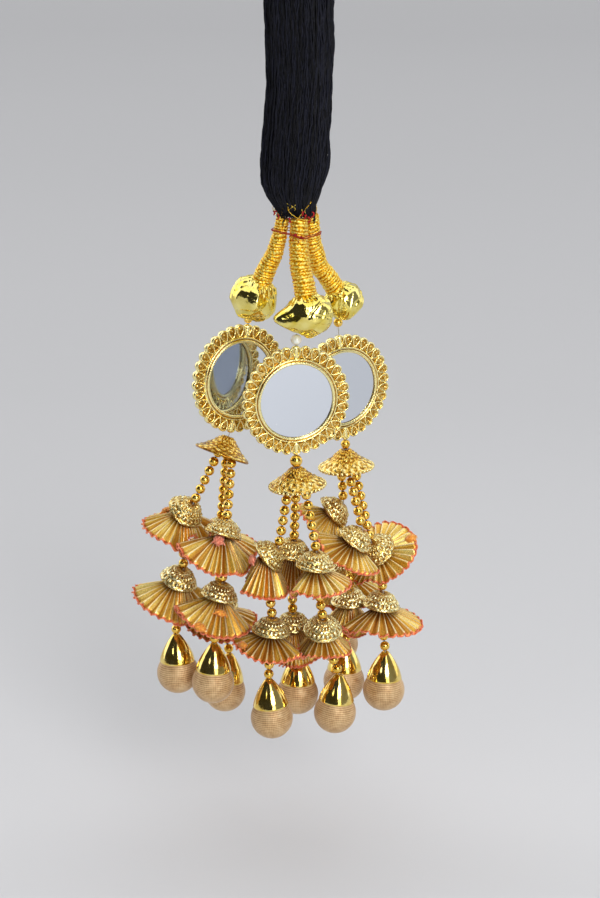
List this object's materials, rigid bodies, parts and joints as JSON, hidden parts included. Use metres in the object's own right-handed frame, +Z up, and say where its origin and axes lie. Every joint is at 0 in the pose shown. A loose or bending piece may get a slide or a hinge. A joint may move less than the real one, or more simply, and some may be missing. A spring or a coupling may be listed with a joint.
{
  "type": "braid tassel",
  "caption": "Hair braid tassel: a black thread hank with gold-wound stems, foil balls, framed round mirrors, bell caps and bead strings with pleated ribbon flowers and wound drops.",
  "frame": {"origin": "middle of the hank's upper end, where the hair plait grips it", "axes": "+Z up along the hank, against the way the tassel hangs; -Y towards the viewer of the mirrors; +X to the viewer's right"},
  "size_m": [0.1188, 0.0832, 0.3088],
  "materials": {
    "black_thread": "fine wavy twisted threads, slightly glossy",
    "gold_thread": "metallic thread wound in close ridges",
    "red_thread": "cotton tie",
    "gold_foil": "crumpled foil, mirror bright",
    "gold_bead": "polished",
    "pearl_bead": "pale lacquered",
    "gold_casting": "gold lacquer on cast relief",
    "mirror": "silvered glass",
    "clear_thread": "clear nylon thread",
    "gold_cap": "grained pale gold",
    "gold_ribbon": "stiff metallic ribbon, pleated, coral edge",
    "drop_gold": "mirror polished gold",
    "peach_thread": "satin thread wound over a ball"
  },
  "bodies": {
    "root": {"hank": "black_thread", "hank_whipping": "black_thread", "stem_left": "gold_thread", "stem_centre": "gold_thread", "stem_right": "gold_thread", "stem_tie": "red_thread", "foil_ball_left": "gold_foil", "foil_ball_centre": "gold_foil", "foil_ball_right": "gold_foil", "neck_bead_left": "gold_bead", "neck_bead_right": "gold_bead", "neck_bead_centre": "pearl_bead", "frame_left": "gold_casting", "frame_centre": "gold_casting", "frame_right": "gold_casting", "mirror_left": "mirror", "mirror_centre": "mirror", "mirror_right": "mirror", "bell_cap_left": "gold_casting", "bell_cap_centre": "gold_casting", "bell_cap_right": "gold_casting", "cap_bead_centre": "gold_bead", "cap_bead_right": "gold_bead", "thread_left": "clear_thread", "thread_centre": "clear_thread", "thread_right": "clear_thread", "beads_left_1": "gold_bead", "beads_left_2": "gold_bead", "beads_left_3": "gold_bead", "beads_centre_1": "gold_bead", "beads_centre_2": "gold_bead", "beads_centre_3": "gold_bead", "beads_right_1": "gold_bead", "beads_right_2": "gold_bead", "beads_right_3": "gold_bead", "flower_caps_left_1": "gold_cap", "flower_caps_left_2": "gold_cap", "flower_caps_left_3": "gold_cap", "flower_caps_centre_1": "gold_cap", "flower_caps_centre_2": "gold_cap", "flower_caps_centre_3": "gold_cap", "flower_caps_right_1": "gold_cap", "flower_caps_right_2": "gold_cap", "flower_caps_right_3": "gold_cap", "skirts_left_1": "gold_ribbon", "skirts_left_2": "gold_ribbon", "skirts_left_3": "gold_ribbon", "skirts_centre_1": "gold_ribbon", "skirts_centre_2": "gold_ribbon", "skirts_centre_3": "gold_ribbon", "skirts_right_1": "gold_ribbon", "skirts_right_2": "gold_ribbon", "skirts_right_3": "gold_ribbon", "drop_caps_left": "drop_gold", "drop_caps_centre": "drop_gold", "drop_caps_right": "drop_gold", "drop_balls_left": "peach_thread", "drop_balls_centre": "peach_thread", "drop_balls_right": "peach_thread"}
  },
  "joints": []
}
